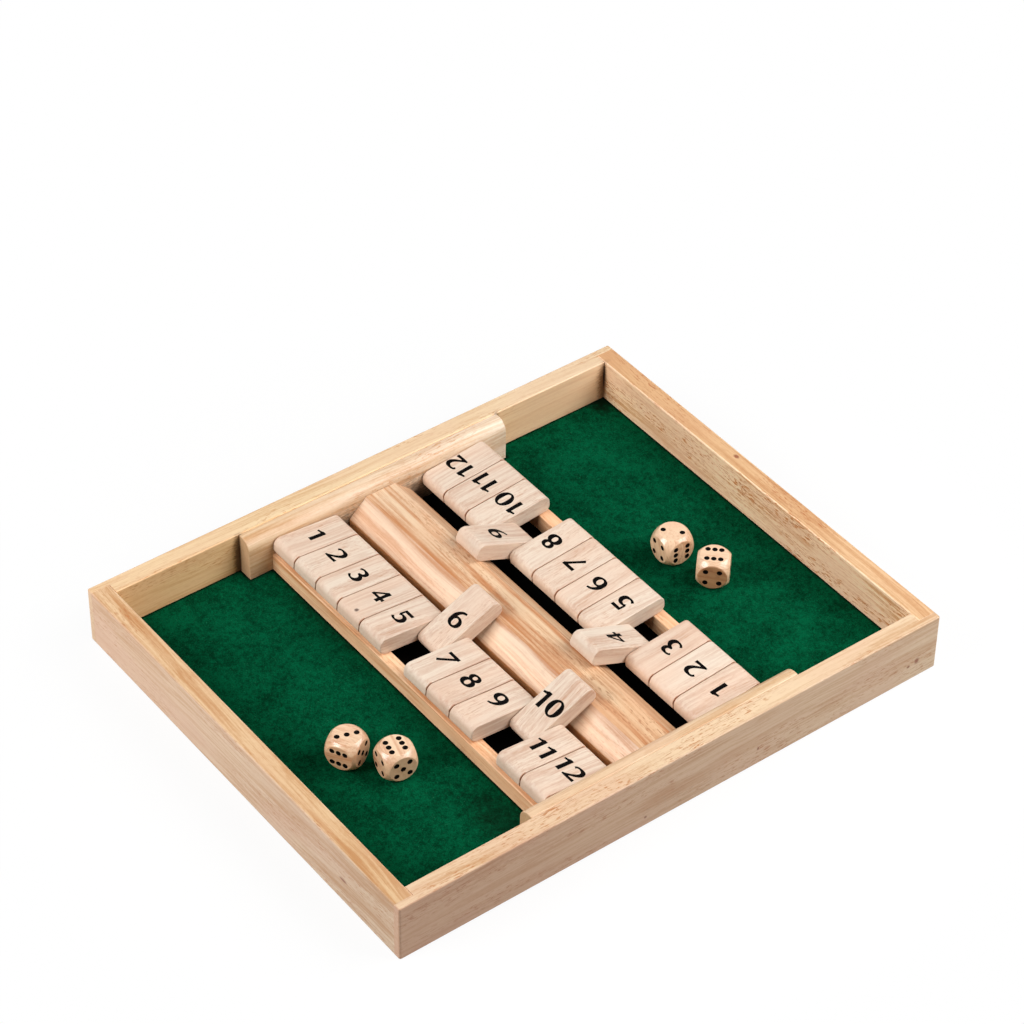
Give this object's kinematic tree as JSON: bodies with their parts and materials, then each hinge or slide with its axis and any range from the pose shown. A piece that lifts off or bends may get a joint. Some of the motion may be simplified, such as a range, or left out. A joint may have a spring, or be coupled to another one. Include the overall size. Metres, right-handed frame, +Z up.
{
  "type": "shut the box game",
  "caption": "Wooden tray game with two facing rows of hinged number tiles on steel rods, a board between them to lean turned tiles on, felt-lined throwing spaces and dice.",
  "frame": {"origin": "middle of the tray's underside, on the surface that it stands on", "axes": "+X along the tile rows, from 1 to 12 as the front player reads them; +Y across the tray, from the front player to the back player; +Z up"},
  "size_m": [0.28, 0.3454, 0.0402],
  "materials": {
    "wall_wood": "clear satin varnish",
    "tile_wood": "fine sanded, clear sealed",
    "board_wood": "clear satin varnish",
    "die_wood": "tumbled, gloss varnish",
    "floor_panel": "black-faced board",
    "green_felt": "short-nap felt, glued down",
    "rod_steel": "bright drawn rod"
  },
  "bodies": {
    "tray": {"end_wall_left": "wall_wood", "end_wall_right": "wall_wood", "side_wall_front": "wall_wood", "side_wall_back": "wall_wood", "floor_panel": "floor_panel", "felt_front": "green_felt", "felt_back": "green_felt", "bearer_block_left": "wall_wood", "bearer_block_right": "wall_wood", "centre_board": "board_wood", "rail_front": "board_wood", "rail_back": "board_wood", "rod_front": "rod_steel", "rod_back": "rod_steel"},
    "tile_front_1": {"tile_front_1": "tile_wood"},
    "tile_front_2": {"tile_front_2": "tile_wood"},
    "tile_front_3": {"tile_front_3": "tile_wood"},
    "tile_front_4": {"tile_front_4": "tile_wood"},
    "tile_front_5": {"tile_front_5": "tile_wood"},
    "tile_front_6": {"tile_front_6": "tile_wood"},
    "tile_front_7": {"tile_front_7": "tile_wood"},
    "tile_front_8": {"tile_front_8": "tile_wood"},
    "tile_front_9": {"tile_front_9": "tile_wood"},
    "tile_front_10": {"tile_front_10": "tile_wood"},
    "tile_front_11": {"tile_front_11": "tile_wood"},
    "tile_front_12": {"tile_front_12": "tile_wood"},
    "die_front_1": {"die_front_1": "die_wood"},
    "die_front_2": {"die_front_2": "die_wood"},
    "tile_back_1": {"tile_back_1": "tile_wood"},
    "tile_back_2": {"tile_back_2": "tile_wood"},
    "tile_back_3": {"tile_back_3": "tile_wood"},
    "tile_back_4": {"tile_back_4": "tile_wood"},
    "tile_back_5": {"tile_back_5": "tile_wood"},
    "tile_back_6": {"tile_back_6": "tile_wood"},
    "tile_back_7": {"tile_back_7": "tile_wood"},
    "tile_back_8": {"tile_back_8": "tile_wood"},
    "tile_back_9": {"tile_back_9": "tile_wood"},
    "tile_back_10": {"tile_back_10": "tile_wood"},
    "tile_back_11": {"tile_back_11": "tile_wood"},
    "tile_back_12": {"tile_back_12": "tile_wood"},
    "die_back_1": {"die_back_1": "die_wood"},
    "die_back_2": {"die_back_2": "die_wood"}
  },
  "joints": [
    {"name": "tile_front_1_hinge", "type": "hinge", "parent": "tray", "child": "tile_front_1", "pos_m": [-0.10917, -0.0374, 0.0234], "axis": [-1, 0, 0], "range_deg": [0, 150.88]},
    {"name": "tile_front_2_hinge", "type": "hinge", "parent": "tray", "child": "tile_front_2", "pos_m": [-0.08933, -0.0374, 0.0234], "axis": [-1, 0, 0], "range_deg": [0, 150.88]},
    {"name": "tile_front_3_hinge", "type": "hinge", "parent": "tray", "child": "tile_front_3", "pos_m": [-0.06947, -0.0374, 0.0234], "axis": [-1, 0, 0], "range_deg": [0, 150.88]},
    {"name": "tile_front_4_hinge", "type": "hinge", "parent": "tray", "child": "tile_front_4", "pos_m": [-0.04963, -0.0374, 0.0234], "axis": [-1, 0, 0], "range_deg": [0, 150.88]},
    {"name": "tile_front_5_hinge", "type": "hinge", "parent": "tray", "child": "tile_front_5", "pos_m": [-0.02977, -0.0374, 0.0234], "axis": [-1, 0, 0], "range_deg": [0, 150.88]},
    {"name": "tile_front_6_hinge", "type": "hinge", "parent": "tray", "child": "tile_front_6", "pos_m": [-0.00992, -0.0374, 0.0234], "axis": [-1, 0, 0], "range_deg": [-150.88, 0]},
    {"name": "tile_front_7_hinge", "type": "hinge", "parent": "tray", "child": "tile_front_7", "pos_m": [0.00992, -0.0374, 0.0234], "axis": [-1, 0, 0], "range_deg": [0, 150.88]},
    {"name": "tile_front_8_hinge", "type": "hinge", "parent": "tray", "child": "tile_front_8", "pos_m": [0.02977, -0.0374, 0.0234], "axis": [-1, 0, 0], "range_deg": [0, 150.88]},
    {"name": "tile_front_9_hinge", "type": "hinge", "parent": "tray", "child": "tile_front_9", "pos_m": [0.04963, -0.0374, 0.0234], "axis": [-1, 0, 0], "range_deg": [0, 150.88]},
    {"name": "tile_front_10_hinge", "type": "hinge", "parent": "tray", "child": "tile_front_10", "pos_m": [0.06947, -0.0374, 0.0234], "axis": [-1, 0, 0], "range_deg": [-150.88, 0]},
    {"name": "tile_front_11_hinge", "type": "hinge", "parent": "tray", "child": "tile_front_11", "pos_m": [0.08933, -0.0374, 0.0234], "axis": [-1, 0, 0], "range_deg": [0, 150.88]},
    {"name": "tile_front_12_hinge", "type": "hinge", "parent": "tray", "child": "tile_front_12", "pos_m": [0.10917, -0.0374, 0.0234], "axis": [-1, 0, 0], "range_deg": [0, 150.88]},
    {"name": "die_front_1_lift", "type": "slide", "parent": "tray", "child": "die_front_1", "axis": [0, 0, 1], "range_m": [0, 0.06]},
    {"name": "die_front_2_lift", "type": "slide", "parent": "tray", "child": "die_front_2", "axis": [0, 0, 1], "range_m": [0, 0.06]},
    {"name": "tile_back_1_hinge", "type": "hinge", "parent": "tray", "child": "tile_back_1", "pos_m": [0.10917, 0.0374, 0.0234], "axis": [1, 0, 0], "range_deg": [0, 150.88]},
    {"name": "tile_back_2_hinge", "type": "hinge", "parent": "tray", "child": "tile_back_2", "pos_m": [0.08933, 0.0374, 0.0234], "axis": [1, 0, 0], "range_deg": [0, 150.88]},
    {"name": "tile_back_3_hinge", "type": "hinge", "parent": "tray", "child": "tile_back_3", "pos_m": [0.06947, 0.0374, 0.0234], "axis": [1, 0, 0], "range_deg": [0, 150.88]},
    {"name": "tile_back_4_hinge", "type": "hinge", "parent": "tray", "child": "tile_back_4", "pos_m": [0.04963, 0.0374, 0.0234], "axis": [1, 0, 0], "range_deg": [-150.88, 0]},
    {"name": "tile_back_5_hinge", "type": "hinge", "parent": "tray", "child": "tile_back_5", "pos_m": [0.02977, 0.0374, 0.0234], "axis": [1, 0, 0], "range_deg": [0, 150.88]},
    {"name": "tile_back_6_hinge", "type": "hinge", "parent": "tray", "child": "tile_back_6", "pos_m": [0.00992, 0.0374, 0.0234], "axis": [1, 0, 0], "range_deg": [0, 150.88]},
    {"name": "tile_back_7_hinge", "type": "hinge", "parent": "tray", "child": "tile_back_7", "pos_m": [-0.00992, 0.0374, 0.0234], "axis": [1, 0, 0], "range_deg": [0, 150.88]},
    {"name": "tile_back_8_hinge", "type": "hinge", "parent": "tray", "child": "tile_back_8", "pos_m": [-0.02977, 0.0374, 0.0234], "axis": [1, 0, 0], "range_deg": [0, 150.88]},
    {"name": "tile_back_9_hinge", "type": "hinge", "parent": "tray", "child": "tile_back_9", "pos_m": [-0.04963, 0.0374, 0.0234], "axis": [1, 0, 0], "range_deg": [-150.88, 0]},
    {"name": "tile_back_10_hinge", "type": "hinge", "parent": "tray", "child": "tile_back_10", "pos_m": [-0.06947, 0.0374, 0.0234], "axis": [1, 0, 0], "range_deg": [0, 150.88]},
    {"name": "tile_back_11_hinge", "type": "hinge", "parent": "tray", "child": "tile_back_11", "pos_m": [-0.08933, 0.0374, 0.0234], "axis": [1, 0, 0], "range_deg": [0, 150.88]},
    {"name": "tile_back_12_hinge", "type": "hinge", "parent": "tray", "child": "tile_back_12", "pos_m": [-0.10917, 0.0374, 0.0234], "axis": [1, 0, 0], "range_deg": [0, 150.88]},
    {"name": "die_back_1_lift", "type": "slide", "parent": "tray", "child": "die_back_1", "axis": [0, 0, 1], "range_m": [0, 0.06]},
    {"name": "die_back_2_lift", "type": "slide", "parent": "tray", "child": "die_back_2", "axis": [0, 0, 1], "range_m": [0, 0.06]}
  ]
}
